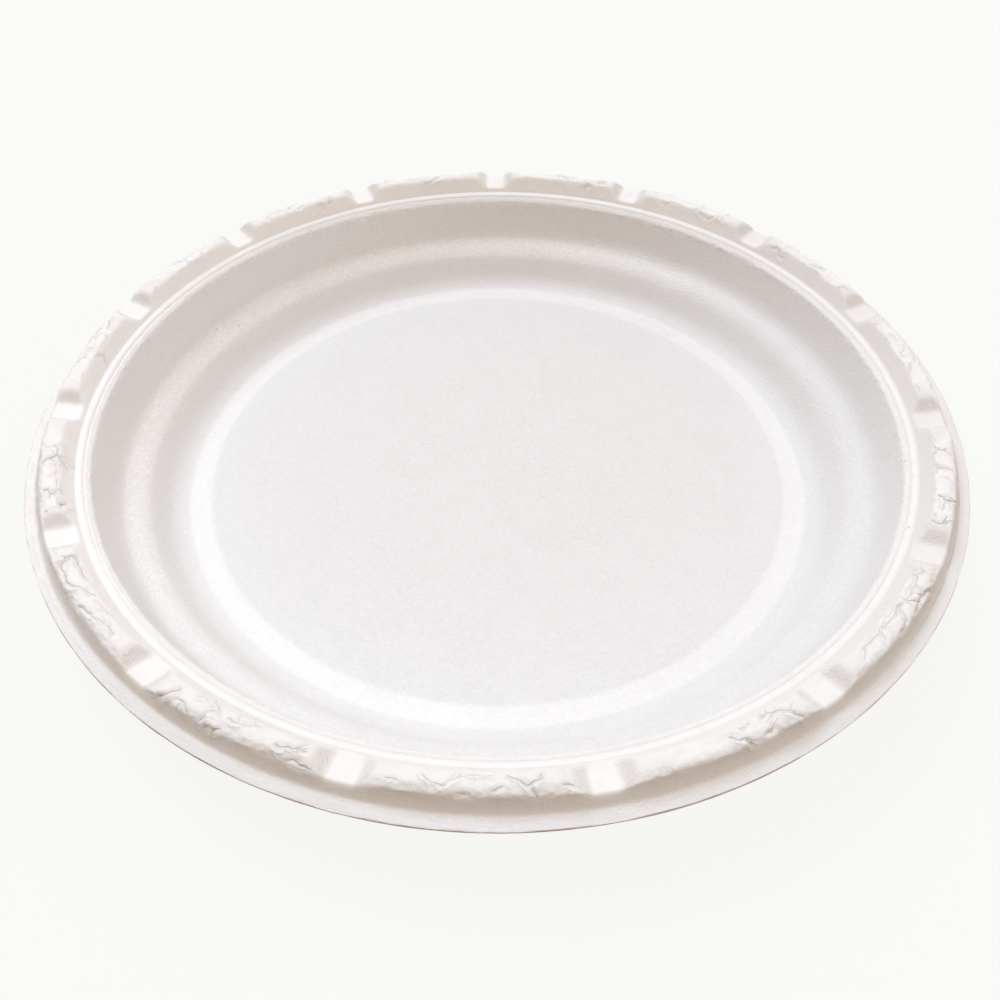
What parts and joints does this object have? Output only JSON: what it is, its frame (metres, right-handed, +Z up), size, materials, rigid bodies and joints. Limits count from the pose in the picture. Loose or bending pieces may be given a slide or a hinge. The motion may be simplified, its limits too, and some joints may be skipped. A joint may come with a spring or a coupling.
{
  "type": "paper plate",
  "caption": "Deep round plate pressed from white plant fibre, with a stepped well and a rim of raised hollow pads parted by smooth notches.",
  "frame": {"origin": "centre of the plate, on the plane that its bottom ring rests on", "axes": "+Z up, out of the well; +Y from the near side of the rim to the far side; +X to the right"},
  "size_m": [0.2286, 0.2286, 0.0297],
  "materials": {
    "fibre": "matt white pressed plant fibre, unwaxed"
  },
  "bodies": {
    "root": {"plate": "fibre"}
  },
  "joints": []
}
